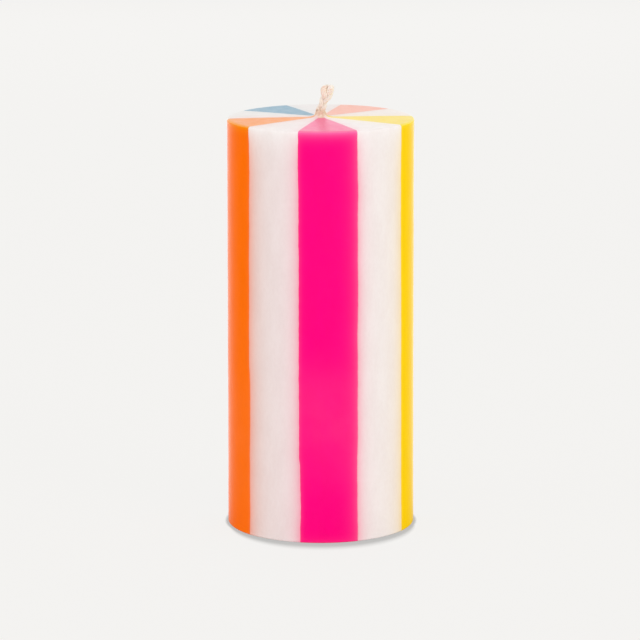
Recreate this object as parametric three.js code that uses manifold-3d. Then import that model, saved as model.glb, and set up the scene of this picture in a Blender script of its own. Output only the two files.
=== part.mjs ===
// Striped pillar candle: ten full-height wedges of wax, coloured and white in turn, that meet at a plaited
// wick. Millimetres, +Z up. The origin is the centre of the base, and -Y is the middle of the pink wedge.

import * as THREE from 'three';
import { mergeVertices } from 'three/addons/utils/BufferGeometryUtils.js';
import Module from 'manifold-3d';

// Wax body
const HEIGHT = 150;
const BASE_DIAMETER = 68.4;
const TOP_DIAMETER = 67.8;
const TOP_RIM_RADIUS = 1;
const BASE_RIM_RADIUS = 0.7;
const SEAM_GAP = 0.3;

// Wax drawn up in a hollow curve where the wick leaves the top
const COLLAR_HEIGHT = 1.5;
const COLLAR_WIDTH = 5;
const COLLAR_LIP = 0.25;
const COLLAR_ROOT = 1;

// Wick: plain inside the wax, and a plait where it stands above the top face. The widths and the lean of
// the plait are given at heights above that face.
const WICK_DIAMETER = 3;
const WICK_CLEARANCE = 0.3;
const WICK_STAND = 12.2;
const WICK_SWELL_WIDTH = 3.6;
const WICK_SWELL_HEIGHT = 2.6;
const WICK_WAIST_WIDTH = 3.2;
const WICK_WAIST_HEIGHT = 5.1;
const WICK_FRAY_WIDTH = 5.2;
const WICK_FRAY_HEIGHT = 9.4;
const WICK_LEAN = 2.5;
const WICK_LEAN_HEIGHT = 9.6;

// Plait: each strand swings from side to side, over the others on its way out and under them on its way
// back, once in each pitch. It swings less from front to back, and its outer strands are cut lower.
const STRANDS = 3;
const STRAND_SHARE = 0.46;
const PLAIT_PITCH = 10;
const PLAIT_DEPTH_SHARE = 0.85;
const PLAIT_ROOT = 1;
const TIP_DROP = 1.2;
const TIP_ROUNDING = 1.1;

// Pressed plate with a crimped neck that holds the foot of the wick, let into the base
const PLATE_DIAMETER = 15;
const PLATE_THICKNESS = 0.4;
const PLATE_CLEARANCE = 0.3;
const PLATE_SETBACK = 0.2;
const NECK_HEIGHT = 6;
const NECK_WALL = 0.4;
const NECK_FILLET = 0.9;
const NECK_CRIMP = 0.12;

// Fineness of the turned shapes
const FACETS_PER_WEDGE = 12;
const RIM_STEPS = 4;
const COLLAR_FACETS = 40;
const COLLAR_STEPS = 6;
const PLATE_FACETS = 48;
const WICK_FACETS = 18;
const STRAND_FACETS = 10;
const STRAND_STEPS = 32;
const MERGE_DISTANCE = 0.001;
const FINEST_DETAIL = 0.01;

// How far the shapes that cut the wax run past it
const OVERRUN = 1;

// Colours and surfaces
const WHITE_WAX = 0xf5eeec;
const COTTON = 0xe6cba8;
const TIN = 0xb9bbbd;
const WAX_ROUGHNESS = 0.4;
const COTTON_ROUGHNESS = 0.9;
const TIN_ROUGHNESS = 0.35;

// Coloured wedges, from the front one anticlockwise as seen from above
const COLOURED_WEDGES = [
  { name: 'pink_wedge', colour: 0xfb0c80 },
  { name: 'yellow_wedge', colour: 0xfccf0a },
  { name: 'coral_wedge', colour: 0xf7a695 },
  { name: 'blue_wedge', colour: 0x58a3c1 },
  { name: 'orange_wedge', colour: 0xfa6d0a },
];

// Sizes that follow from those above
const WEDGE_ANGLE = Math.PI / COLOURED_WEDGES.length;
const FACET_ANGLE = WEDGE_ANGLE / FACETS_PER_WEDGE;
const FRONT = -Math.PI / 2;
const QUARTER = Math.PI / 2;
const TURN = 2 * Math.PI;
const BORE_RADIUS = WICK_DIAMETER / 2 + WICK_CLEARANCE;
const NECK_RADIUS = BORE_RADIUS + NECK_WALL;
const PLATE_TOP = PLATE_SETBACK + PLATE_THICKNESS;
const NECK_TOP = PLATE_TOP + NECK_HEIGHT;

const wasm = await Module();
wasm.setup();

// Makes a solid of a closed geometry, without the zero-width triangles that a turned shape has on its axis
function toSolid(geometry) {
  const bare = geometry.clone();
  bare.deleteAttribute('normal');
  bare.deleteAttribute('uv');
  const merged = mergeVertices(bare, MERGE_DISTANCE);
  const corners = merged.index.array;
  const triangles = [];
  for (let i = 0; i < corners.length; i += 3) {
    const [a, b, c] = corners.slice(i, i + 3);
    if (a !== b && b !== c && c !== a) {
      triangles.push(a, b, c);
    }
  }
  return new wasm.Manifold(new wasm.Mesh({
    numProp: 3,
    vertProperties: new Float32Array(merged.attributes.position.array),
    triVerts: new Uint32Array(triangles),
  }));
}

function toGeometry(solid) {
  const mesh = solid.getMesh();
  const geometry = new THREE.BufferGeometry();
  geometry.setAttribute('position', new THREE.BufferAttribute(mesh.vertProperties, mesh.numProp));
  geometry.setIndex(new THREE.BufferAttribute(mesh.triVerts, 1));
  geometry.computeVertexNormals();
  return geometry;
}

function point(radius, height) {
  return new THREE.Vector2(radius, height);
}

// Points of a round corner between two angles, both ends included
function corner(centreRadius, centreHeight, radius, fromAngle, toAngle, steps = RIM_STEPS) {
  const points = [];
  for (let i = 0; i <= steps; i += 1) {
    const angle = THREE.MathUtils.lerp(fromAngle, toAngle, i / steps);
    points.push(point(centreRadius + radius * Math.cos(angle), centreHeight + radius * Math.sin(angle)));
  }
  return points;
}

// Turns a profile of (radius, height) points about Z, starting at the front. The profile starts and ends
// on the axis, or closes on itself.
function revolve(profile, facets, startAngle = 0) {
  return new THREE.LatheGeometry(profile, facets, startAngle).rotateX(QUARTER);
}

// The whole wax body: a drafted pillar with rounded rims. Its facets start half a facet off the front, so
// that every seam crosses the middle of a facet.
function pillar() {
  const baseRim = BASE_DIAMETER / 2 - BASE_RIM_RADIUS;
  const topRim = TOP_DIAMETER / 2 - TOP_RIM_RADIUS;
  const profile = [
    point(0, 0),
    ...corner(baseRim, BASE_RIM_RADIUS, BASE_RIM_RADIUS, -QUARTER, 0),
    ...corner(topRim, HEIGHT - TOP_RIM_RADIUS, TOP_RIM_RADIUS, 0, QUARTER),
    point(0, HEIGHT),
  ];
  const facets = 2 * COLOURED_WEDGES.length * FACETS_PER_WEDGE;
  return toSolid(revolve(profile, facets, FACET_ANGLE / 2));
}

// The hollow curve of wax that climbs from the top face to the wick, rooted a little way into the body
function collar() {
  const lip = BORE_RADIUS + COLLAR_LIP;
  const foot = lip + COLLAR_WIDTH;
  const profile = [point(0, HEIGHT - COLLAR_ROOT), point(foot, HEIGHT - COLLAR_ROOT)];
  for (let i = 0; i <= COLLAR_STEPS; i += 1) {
    const angle = QUARTER * (i / COLLAR_STEPS);
    const radius = foot - COLLAR_WIDTH * Math.sin(angle);
    profile.push(point(radius, HEIGHT + COLLAR_HEIGHT * (1 - Math.cos(angle))));
  }
  profile.push(point(0, HEIGHT + COLLAR_HEIGHT));
  return toSolid(revolve(profile, COLLAR_FACETS));
}

// The room that the wick, its plate and the plate's neck take out of the wax, with their clearances
function wickRoom() {
  const plateRadius = PLATE_DIAMETER / 2 + PLATE_CLEARANCE;
  const neckRadius = NECK_RADIUS + PLATE_CLEARANCE;
  const ceiling = PLATE_TOP + PLATE_CLEARANCE;
  const neckCeiling = NECK_TOP + PLATE_CLEARANCE;
  const profile = [
    point(0, -OVERRUN),
    point(plateRadius, -OVERRUN),
    point(plateRadius, ceiling),
    ...corner(neckRadius + NECK_FILLET, ceiling + NECK_FILLET, NECK_FILLET, -QUARTER, -2 * QUARTER),
    point(neckRadius, neckCeiling),
    point(BORE_RADIUS, neckCeiling),
    point(BORE_RADIUS, HEIGHT + COLLAR_HEIGHT + OVERRUN),
    point(0, HEIGHT + COLLAR_HEIGHT + OVERRUN),
  ];
  return toSolid(revolve(profile, PLATE_FACETS));
}

// A prism over one wedge, its two sides drawn in by half a seam gap, pointing along +X
function sector() {
  const half = WEDGE_ANGLE / 2;
  const tip = SEAM_GAP / 2 / Math.sin(half);
  const reach = BASE_DIAMETER;
  const outline = new THREE.Shape();
  outline.moveTo(tip, 0);
  outline.lineTo(tip + reach * Math.cos(half), -reach * Math.sin(half));
  outline.lineTo(tip + reach * Math.cos(half), reach * Math.sin(half));
  outline.closePath();
  const depth = HEIGHT + COLLAR_HEIGHT + 2 * OVERRUN;
  return new THREE.ExtrudeGeometry(outline, { depth, bevelEnabled: false }).translate(0, 0, -OVERRUN);
}

// Width of the plait at a height above the top face. It starts to change where the wax lets go of it.
function wickWidth(rise) {
  const { lerp, smoothstep } = THREE.MathUtils;
  const swollen = lerp(WICK_DIAMETER, WICK_SWELL_WIDTH, smoothstep(rise, COLLAR_HEIGHT, WICK_SWELL_HEIGHT));
  const waisted = lerp(swollen, WICK_WAIST_WIDTH, smoothstep(rise, WICK_SWELL_HEIGHT, WICK_WAIST_HEIGHT));
  return lerp(waisted, WICK_FRAY_WIDTH, smoothstep(rise, WICK_WAIST_HEIGHT, WICK_FRAY_HEIGHT));
}

// How far round its swing a strand is at a height above the top face: the first one ends in the middle
function strandTurn(strand, rise) {
  return QUARTER + TURN * ((rise - WICK_STAND) / PLAIT_PITCH + strand / STRANDS);
}

// One strand of the plait, from its root inside the wax to its rounded cut end
function strandGeometry(strand) {
  const end = WICK_STAND - TIP_DROP * Math.cos(strandTurn(strand, WICK_STAND)) ** 2;
  const geometry = new THREE.CylinderGeometry(1, 1, 1, STRAND_FACETS, STRAND_STEPS).rotateX(QUARTER);
  const { position } = geometry.attributes;
  const vertex = new THREE.Vector3();
  for (let i = 0; i < position.count; i += 1) {
    vertex.fromBufferAttribute(position, i);
    const rise = THREE.MathUtils.lerp(-PLAIT_ROOT, end, Math.sin(QUARTER * (vertex.z + 0.5)));
    const full = STRAND_SHARE * wickWidth(rise) / 2;
    const swing = wickWidth(rise) / 2 - full;
    const toEnd = Math.min((end - rise) / TIP_ROUNDING, 1);
    const radius = full * Math.sqrt(1 - (1 - toEnd) ** 2);
    const turn = strandTurn(strand, rise);
    const lean = WICK_LEAN * THREE.MathUtils.smoothstep(rise, COLLAR_HEIGHT, WICK_LEAN_HEIGHT);
    const x = lean + swing * Math.cos(turn) + radius * vertex.x;
    const y = PLAIT_DEPTH_SHARE * swing * Math.sin(2 * turn) + radius * vertex.y;
    position.setXYZ(i, x, y, HEIGHT + rise);
  }
  return geometry;
}

// The wick in one piece: its plain run inside the wax, and the plaited strands that grow out of it. The
// slivers left where these run into each other are smoothed away.
function wickGeometry() {
  const length = HEIGHT - PLAIT_ROOT / 2 - PLATE_SETBACK;
  const run = new THREE.CylinderGeometry(WICK_DIAMETER / 2, WICK_DIAMETER / 2, length, WICK_FACETS)
    .rotateX(QUARTER)
    .translate(0, 0, PLATE_SETBACK + length / 2);
  let wick = toSolid(run);
  for (let strand = 0; strand < STRANDS; strand += 1) {
    wick = wick.add(toSolid(strandGeometry(strand)));
  }
  return toGeometry(wick.simplify(FINEST_DETAIL));
}

// The plate and its neck, one pressed sheet: up the outside and down the bore
function sustainerGeometry() {
  const rim = PLATE_DIAMETER / 2;
  const neckTopRadius = NECK_RADIUS - NECK_CRIMP;
  const profile = [
    point(BORE_RADIUS, PLATE_SETBACK),
    point(rim, PLATE_SETBACK),
    point(rim, PLATE_TOP),
    ...corner(NECK_RADIUS + NECK_FILLET, PLATE_TOP + NECK_FILLET, NECK_FILLET, -QUARTER, -2 * QUARTER),
    point(neckTopRadius, NECK_TOP),
    point(BORE_RADIUS - NECK_CRIMP, NECK_TOP),
    point(BORE_RADIUS, PLATE_TOP + NECK_FILLET),
    point(BORE_RADIUS, PLATE_SETBACK),
  ];
  return toGeometry(toSolid(revolve(profile, PLATE_FACETS)));
}

function piece(name, geometry, color, roughness, metalness = 0) {
  const mesh = new THREE.Mesh(geometry, new THREE.MeshStandardMaterial({ color, roughness, metalness }));
  mesh.name = name;
  return mesh;
}

const candle = new THREE.Group();

const wax = pillar().add(collar()).subtract(wickRoom());

function addWedge(name, colour, place) {
  const turned = sector().rotateZ(FRONT + place * WEDGE_ANGLE);
  const wedge = wax.intersect(toSolid(turned));
  candle.add(piece(name, toGeometry(wedge), colour, WAX_ROUGHNESS));
}

COLOURED_WEDGES.forEach(({ name, colour }, i) => {
  addWedge(name, colour, 2 * i);
  addWedge(`white_wedge_${i + 1}`, WHITE_WAX, 2 * i + 1);
});

candle.add(piece('wick', wickGeometry(), COTTON, COTTON_ROUGHNESS));
candle.add(piece('wick_sustainer', sustainerGeometry(), TIN, TIN_ROUGHNESS, 1));

export default candle;
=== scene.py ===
# Striped pillar candle: ten full-height wedges of wax round a plaited cotton wick, with the pressed plate
# that holds the foot of the wick. Metres, +Z up, the middle of the pink wedge facing -Y.
from math import cos, exp, pi, radians, sin, sqrt, tau

import bpy
import numpy as np
from mathutils import Euler, Matrix, Vector, noise


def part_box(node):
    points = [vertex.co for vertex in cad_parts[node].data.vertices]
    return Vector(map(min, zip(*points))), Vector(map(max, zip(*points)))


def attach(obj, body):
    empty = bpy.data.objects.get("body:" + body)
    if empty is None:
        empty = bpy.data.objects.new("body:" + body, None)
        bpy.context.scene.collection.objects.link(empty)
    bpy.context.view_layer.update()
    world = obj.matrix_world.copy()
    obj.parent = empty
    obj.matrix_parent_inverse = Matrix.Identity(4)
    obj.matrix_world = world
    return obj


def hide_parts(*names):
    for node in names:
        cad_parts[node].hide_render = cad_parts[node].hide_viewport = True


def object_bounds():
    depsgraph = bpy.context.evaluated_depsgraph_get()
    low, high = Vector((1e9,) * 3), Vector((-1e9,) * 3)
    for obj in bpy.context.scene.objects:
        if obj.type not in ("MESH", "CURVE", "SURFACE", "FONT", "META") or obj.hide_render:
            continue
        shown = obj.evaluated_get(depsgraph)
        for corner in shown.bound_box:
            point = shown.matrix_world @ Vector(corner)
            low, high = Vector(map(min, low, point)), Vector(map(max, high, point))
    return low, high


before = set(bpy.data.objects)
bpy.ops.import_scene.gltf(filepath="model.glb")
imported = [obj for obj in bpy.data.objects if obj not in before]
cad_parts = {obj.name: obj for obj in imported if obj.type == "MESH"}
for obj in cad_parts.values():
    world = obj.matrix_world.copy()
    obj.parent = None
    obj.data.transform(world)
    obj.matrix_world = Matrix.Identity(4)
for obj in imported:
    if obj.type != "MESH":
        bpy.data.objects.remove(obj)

cad_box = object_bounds()

SEED = 11
MM = 0.001

# Camera, as fitted to the outline of the candle
CAMERA_AZIMUTH = radians(-4.64)
CAMERA_DISTANCE = 1.3364
CAMERA_HEIGHT = 0.3506
CAMERA_TILT = radians(11.642)
CAMERA_PAN = radians(0.0104)
CAMERA_ROLL = radians(-0.044)
CAMERA_LENS = 209.93
CAMERA_SENSOR = 36.0
CAMERA_REACH = 200.0

# Wax body
SEAM_CLEARANCE = 0.01 * MM
DRAFT = 0.3 * MM
TOP_RIM_RADIUS = 1.0 * MM
BASE_RIM_RADIUS = 0.7 * MM
PACKED_COLLAR = 1.5 * MM
TOP_RISE = 0.35 * MM
# Wax that climbs the foot of the wick: its stem, its flare where it runs out, and its rounded top
COLLAR_HEIGHT = 2.1 * MM
COLLAR_STEM = 2.0 * MM
COLLAR_FLARE = 2.6 * MM
COLLAR_CURVE = 0.32 * MM
COLLAR_ROUNDING = 0.7 * MM
COLLAR_BORE = 1.25 * MM
BORE_RADIUS = 1.75 * MM
PLATE_CLEARANCE = 0.3 * MM

# Unevenness of the cast wax: depth on the wall and the top, lengths and strengths of its slow and fine
# waves, and where in the noise it begins
WALL_WOBBLE = 0.07 * MM
TOP_WOBBLE = 0.09 * MM
WOBBLE_LENGTH = 19 * MM
WOBBLE_FINE_LENGTH = 0.3 * WOBBLE_LENGTH
WOBBLE_SLOW = 0.8
WOBBLE_FINE = 0.2
WOBBLE_START = Vector((5.0, 2.0, 9.0))
# Ragged top of the collar: how ragged, and the circle in the noise that it follows
COLLAR_RAGGED = 0.3
COLLAR_WAVES = 1.9
COLLAR_LEVEL = 3.0

# Fineness of the wedge meshes; a seam face has one row of triangles for so many rows of the wall
COLUMNS = 24
WALL_ROWS = 148
TOP_RINGS = 26
BASE_RINGS = 12
RIM_STEPS = 8
COLLAR_STEPS = 20
CORNER_STEPS = 5
CAP_ROWS = 10
# Faces that meet at more than this angle show an edge
SHARP_ANGLE = radians(50)
# Materials of a wedge, in order
WALL_MATERIAL = 0
TOP_MATERIAL = 1

# Wax colours, linear
WHITE = (0.880, 0.825, 0.805)
# White beside the pink: pinker from crept dye and painted scattered light, a little darker as painted shade
BLUSH_AND_SHADE = (0.865, 0.770, 0.765)
PINK = (0.99, 0.0012, 0.212)
YELLOW = (1.0, 0.655, 0.0006)
CORAL = (0.93, 0.381, 0.301)
BLUE = (0.098, 0.366, 0.533)
ORANGE = (1.0, 0.163, 0.0006)
CORE = (0.83, 0.59, 0.43)
CORE_PALE = (0.95, 0.77, 0.61)
CORE_DEEP = (0.83, 0.59, 0.435)
# Tint of the painted sheen on the wall
SHEEN_TINT = (0.96, 0.93, 0.91)

# Tints of the same waxes for painted light: the glow at the top rim and the foot, where light comes through,
# and the sheen of the top face. The white ones differ round the candle as painted light and shade
PINK_LIT = (0.99, 0.215, 0.43)
YELLOW_LIT = (0.98, 0.81, 0.06)
CORAL_LIT = (0.98, 0.44, 0.31)
BLUE_LIT = (0.17, 0.36, 0.50)
ORANGE_LIT = (0.97, 0.37, 0.003)
WHITE_LIT = (0.92, 0.885, 0.865)
WHITE_LIT_FRONT = (0.96, 0.91, 0.89)
WHITE_LIT_LEFT = (0.82, 0.82, 0.79)
WHITE_LIT_RIGHT = (0.94, 0.87, 0.80)
WHITE_LIT_BACK = (0.83, 0.80, 0.785)
# Their painted-light tints on the wall below the top rim, where those differ
RIM_GLOW = {PINK: (0.94, 0.215, 0.50), ORANGE: (0.97, 0.34, 0.002), YELLOW: (0.98, 0.77, 0.03)}
# Painted sheen: how far the top face leans to the lit tints
TOP_SHEEN_SHARE = 0.6
# Painted glow: how strongly, and over what length, light that creeps through the wax from the top rim is
# painted
GLOW = (0.75, 1.15 * MM)
# The same painted glow for light that creeps into the foot from below
FOOT_GLOW = (0.14, 0.9 * MM)
# The same for the painted lighter band below the rim of the white wax, light that creeps in from the top
LIT_BAND = (0.75, 7 * MM)

# Wedges anticlockwise from the front: imported node, material slot, colour, tint of its painted light
WEDGES = [
    ("pink_wedge", "pink_wax", PINK, PINK_LIT),
    ("white_wedge_1", "white_wax", WHITE, WHITE_LIT_FRONT),
    ("yellow_wedge", "yellow_wax", YELLOW, YELLOW_LIT),
    ("white_wedge_2", "white_wax", WHITE, WHITE_LIT_RIGHT),
    ("coral_wedge", "coral_wax", CORAL, CORAL_LIT),
    ("white_wedge_3", "white_wax", WHITE, WHITE_LIT_BACK),
    ("blue_wedge", "blue_wax", BLUE, BLUE_LIT),
    ("white_wedge_4", "white_wax", WHITE, WHITE_LIT_LEFT),
    ("orange_wedge", "orange_wax", ORANGE, ORANGE_LIT),
    ("white_wedge_5", "white_wax", BLUSH_AND_SHADE, WHITE_LIT_FRONT),
]
WEDGE_ANGLE = tau / len(WEDGES)
FRONT = -pi / 2

# How strongly, and over what length, each colour tints the white wax beside it: partly its dye crept
# over the seam, partly painted light scattered in through the wax
BLEED_AND_SCATTER = {
    PINK: (0.50, 2.2 * MM),
    YELLOW: (0.45, 3.4 * MM),
    CORAL: (0.42, 3.0 * MM),
    BLUE: (0.36, 2.4 * MM),
    ORANGE: (0.54, 3.3 * MM),
}
# The same for white wax, which leaves a narrow fringe on the colours
FRINGE = (0.06, 0.6 * MM)
# Two pieces are tinted once more from one seam, as painted light: a painted highlight on the pink by
# white_1 and painted shade on white_5 towards the orange. The seam, the strength, the length and the tint
SEAM_LIGHT_AND_SHADE = {
    "pink_wax": ("from_left", 0.07, 1.8 * MM, WHITE),
    "white_wax_5": ("from_right", 0.7, 9.0 * MM, (0.72, 0.64, 0.60)),
}

# The wick's own coat of wax, which has run out round it: how much of it has spread over a piece, and the
# distances from the axis between which that fades
CORE_HAZE = {"orange_wax": 0.25, "yellow_wax": 0.1, "blue_wax": 0.1, "coral_wax": 0.15}
CORE_HAZE_FADE = (3.0 * MM, 14.0 * MM)
# How far from the axis it covers a piece, over what width it ends, and how well it covers
CORE_REACH = {"pink_wax": 4.8 * MM, "blue_wax": 2.9 * MM, "coral_wax": 3.1 * MM}
CORE_PLAIN_REACH = 3.4 * MM
CORE_END = 0.8 * MM
CORE_COVER = 0.95
# Its ragged edge: length of the waves and how far they swing
CORE_EDGE = (1.6 * MM, 0.9 * MM)
# Its pale streaks: length, stretch and range of the noise
CORE_STREAKS = (0.8 * MM, 0.4)
CORE_STREAK_RANGE = (0.4, 0.65)
# Its deeper colour up the collar: where that begins, and its greatest share
CORE_DEEP_RISE = 1.0 * MM
CORE_DEEP_SHARE = 0.7

# Range that holds nearly all of the noise
NOISE_RANGE = (0.3, 0.7)
# Tint of the darker patches and specks, with their length, stretch and greatest share. A stretch of 0.5
# draws a pattern out to twice its length along the axis
MOTTLE = (0.955, 0.935, 0.93)
MOTTLE_PATCHES = (5 * MM, 0.35, 0.6)
MOTTLE_SPECKS = (0.9 * MM, 0.5, 0.35)
# Painted sheen, a faint pale band that stands in for a broad highlight on the wall: its share, the height
# where it is strongest, its reach up and down
WALL_SHEEN = {
    PINK: (0.017, 45 * MM, 32 * MM),
    ORANGE: (0.012, 32 * MM, 60 * MM),
    YELLOW: (0.0005, 45 * MM, 40 * MM),
}
PLAIN_SHEEN = (0.013, 52 * MM, 48 * MM)
# Its patches: their length, and how much of it is left between them
SHEEN_PATCHES = 14 * MM
SHEEN_LEAST = 0.5
# Relief of the wax: length and depth of its slow waves, its mould marks and its grain
WAVES = (9 * MM, 0.05 * MM)
MARKS = (0.9 * MM, 0.006 * MM)
MARK_STRETCH = 0.03
GRAIN = (0.5 * MM, 0.006 * MM)
# Its pin-holes: their spacing, their inner and outer edge as shares of it, and their depth
HOLE_SPACING = 5.5 * MM
HOLE_EDGES = (0.02, 0.06)
HOLE_DEPTH = 0.05 * MM
# Finish of the matt wall and the glossier top: length of the wear, roughness where it is least and most,
# refraction and specular level
WALL_FINISH = (4 * MM, (0.15, 0.23), 1.44, 0.04)
TOP_FINISH = (3 * MM, (0.28, 0.36), 1.45, 0.5)

# Seam wander along the wall: length of the waves and how far they swing
SEAM_WAVES = ((38 * MM, 0.14 * MM), (9 * MM, 0.05 * MM), (2.2 * MM, 0.06 * MM))
# Their noise, doubled because it seldom passes a half, and the places where each seam and wave reads it
WAVE_GAIN = 2.0
SEAM_STEP = 7.3
SEAM_START = 0.4
WAVE_STEP = 3.1
# The seams that show in front follow these courses in place of the longest wave: (height, shift) in mm
SEAM_COURSES = {
    8: (
        (0, 0.25), (14, 0.40), (30, 0.35), (44, 0.60), (58, 0.50), (66, 0.03), (96, 0.15), (122, 0.30),
        (134, 0.50), (142, 0.40), (150, 0.0),
    ),
    9: (
        (0, 0.55), (16, 0.65), (28, 0.42), (32, 0.07), (60, -0.02), (100, 0.0), (128, -0.10), (138, -0.33),
        (150, -0.16),
    ),
    0: (
        (0, 0.22), (24, 0.05), (36, 0.22), (60, 0.20), (76, 0.05), (84, 0.30), (110, 0.20), (130, 0.32),
        (142, 0.02),
    ),
    1: ((0, 0.50), (14, 0.25), (22, 0.10), (74, 0.0), (90, -0.10), (104, -0.30), (134, -0.45), (146, -0.15)),
    2: ((0, 0.30), (136, 0.50), (149, 1.10)),
}

# Wick: the widths and the lean of its plait, at rises above the top face, in millimetres
WICK_WIDTH = 3.0
WICK_OUTLINE = ((1.5, 3.0), (2.6, 3.6), (5.1, 3.2), (10.4, 5.5))
WICK_LEAN = 2.95
WICK_LEAN_RISES = (1.5, 11.5)
# Plait: the strands' share of its width and its depth, and the rise of one full swing. Over the last
# stretch they ease into a straight run at this turn
STRANDS = 3
STRAND_SHARE = 0.465
PLAIT_DEPTH_SHARE = 0.7
PLAIT_PITCH = 10.0
TIP_STRETCH = 2.6
TIP_TURN = radians(65)
TIP_EASE = 0.8
# How far below the tip each strand ends. Two would end above it and are pressed down over this length
TIP_DROPS = (0.3, -0.4, -0.5)
TIP_PRESS = 0.6
# How much lower the yarns at the sides of the tip end than the middle ones
TIP_DOME = 3.2
# How far loose fibres stay below the tip
TIP_MARGIN = 0.05
# The foot of the wick: how far it stays off the table side of its plate, and how far up it runs straight
FOOT_LIFT = 0.02
FOOT_HOLD = 2.5
# Yarns: those round the middle one of a strand and those across it, the turn from one strand's to the
# next's, the rise of one turn of the lay, the sides of a yarn and how well the yarns fill the strand
YARNS_ROUND = 6
YARNS_ACROSS = 3
YARN_OFFSET = 0.7
YARN_LAY = 6.5
YARN_SIDES = 8
YARN_FILL = 1.08
# Steps along a yarn inside the wax and above it, and its last points before the end, with their thinning
INNER_STEP = 1.0
OUTER_STEP = 0.25
END_STEPS = (0.3, 0.16, 0.06, 0.0)
END_THINNING = (0.96, 0.8, 0.45)
# How much shorter than its strand a yarn is, and how much more so unless it is the middle one
END_DROPS = (0.02, 0.20)
OUTER_END_DROP = 0.15
# How far a yarn swings and swells, the phase that each gains in a millimetre, and the phase of the
# swelling from yarn to yarn
YARN_SWING = 0.04
SWING_PHASE = 2.1
YARN_SWELL = 0.06
SWELL_PHASE = 3.3
SWELL_OFFSET = 2.0
# The share of a yarn's radius that has to stay on its strand's own side
YARN_HOLD = 0.7
# How far the yarns splay at the cut end, the shares of it that they take, and its length
SPLAY = 0.20
SPLAY_SHARES = (-0.6, 1.0)
SPLAY_LENGTH = 2.2
# Twist of the fibres in a yarn, and how fine they show across and along it
FIBRE_TWIST = 0.9
FIBRE_FINENESS = 3.2
FIBRE_LENGTHWISE = 0.9
# Loose fibres: number, radius, sides, points, lengths, thinning, lowest rise, distance below the end of
# their strand, lift and curl
FIBRES = 46
FIBRE_RADIUS = 0.022
FIBRE_SIDES = 4
FIBRE_POINTS = 6
FIBRE_LENGTH = (0.5, 1.5)
FIBRE_THINNING = 0.6
FIBRE_LOWEST = 2.0
FIBRE_DROP = 0.2
FIBRE_LIFT = (0.1, 0.9)
FIBRE_CURL = 0.35
FIBRE_CURL_SHARE = 0.6
# A furrow, which gets painted shade: its reach and width, in radii of the next strand, and where under the
# tip it ends
FURROW_REACH = 1.22
FURROW_WIDTH = 0.45
FURROW_END = (1.6, 0.6)

# Cotton, linear: waxed, loose, and the tints of the middle strand, of patches, of the painted shade in the
# furrows and of fibres
COTTON_WAXED = (0.89, 0.665, 0.50)
COTTON_LOOSE = (0.98, 0.94, 0.87)
COTTON_TAN = (0.93, 0.72, 0.55)
COTTON_PATCH = (0.94, 0.79, 0.64)
FURROW_SHADE = (0.70, 0.48, 0.35)
COTTON_FIBRE = (0.93, 0.84, 0.76)
# Rises over which the wax ends and the tan begins, and how close to the middle strand it keeps
WAXED_RISES = (1.8, 4.6)
TAN_RISES = (7.5, 10.0)
TAN_STRAND = (0.6, 0.95)
# Greatest shares of the tints, and the ranges of the noise in which patches and fibres appear
TAN_SHARE = 0.5
PATCH_SHARE = 0.4
FURROW_SHADE_SHARE = 0.32
FIBRE_SHARE = 0.4
PATCH_LENGTH = 2.2 * MM
PATCH_RANGE = (0.42, 0.68)
FIBRE_RANGE = (0.35, 0.65)
FIBRE_DEPTH = 0.06 * MM
COTTON_ROUGHNESS = (0.62, 0.8)
# Painted shadow at the foot of the wick, where its left strand leaves the wax: its colour, place, inner and
# outer edge, raggedness and share
FOOT_SHADOW = (0.50, 0.30, 0.21)
FOOT_SHADOW_PLACE = (-1.5 * MM, -0.9 * MM, 152.6 * MM)
FOOT_SHADOW_EDGES = (0.4 * MM, 1.3 * MM)
FOOT_SHADOW_RAGGED = 0.5 * MM
FOOT_SHADOW_SHARE = 0.7

# Wick plate; its neck begins to narrow and is narrowest at these shares of its height
PLATE_THICKNESS = 0.4 * MM
PLATE_SEGMENTS = 128
EDGE_STEPS = 8
NECK_RADIUS = 2.2 * MM
NECK_BORE = 1.8 * MM
NECK_FILLET = 0.9 * MM
NECK_STEPS = 6
BORE_FILLET = 0.6 * NECK_FILLET
NECK_CRIMP = 0.14 * MM
CRIMPS = 4
CRIMP_START = 0.5
CRIMP_WAIST = 0.8
BEAD_RADIUS = 5.2 * MM
BEAD_HEIGHT = 0.18 * MM
BEAD_WIDTH = 0.55 * MM
BEAD_STEPS = 12
# Tinned steel, linear, bare and smeared with wax: the smears' length, share, ranges of the noise for
# colour and gloss, and roughness; the number of drawing rings in a metre; the depths of both
TIN = (0.55, 0.56, 0.57)
TIN_WAXED = (0.70, 0.68, 0.64)
SMEAR_LENGTH = 3 * MM
SMEAR_SHARE = 0.5
SMEAR_RANGE = (0.45, 0.7)
DULL_RANGE = (0.35, 0.7)
TIN_ROUGHNESS = (0.24, 0.48)
RINGS_PER_METRE = 9000.0
RING_DEPTH = 0.004 * MM
SMEAR_DEPTH = 0.02 * MM

# Floor: its radius and sides, how far it lies below the base, and its opening under the candle
PAPER = (0.905, 0.896, 0.879)
FLOOR_RADIUS = 30.0
FLOOR_SIDES = 96
FLOOR_DROP = 0.05 * MM
FLOOR_OPENING = 33.4 * MM
# Contact shadow: its reach in front and at the sides, how fast it narrows between them, the openness and
# the light where it is darkest, and how fast it fades outward
CONTACT_REACH_FRONT = 10 * MM
CONTACT_REACH_SIDE = 1.5 * MM
CONTACT_NARROWING = 1.5
DARKEST_OPENNESS = 0.23
DARKEST_SHARE = 0.57
CONTACT_FADE = 1.25
# How much of the lamps' own shadow shows on the floor
REAL_SHADOW = 0.06
SKY_LIGHT = 0.755
# Paper behind the candle in reflections, of the floor and of the backdrop: the cosines of the directions
# in which it begins and is full, and how bright it is
FLOOR_MIRRORED = (0.45, 1.0, 1.5)
SKY_MIRRORED = (0.0, 0.8, 1.25)
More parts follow.
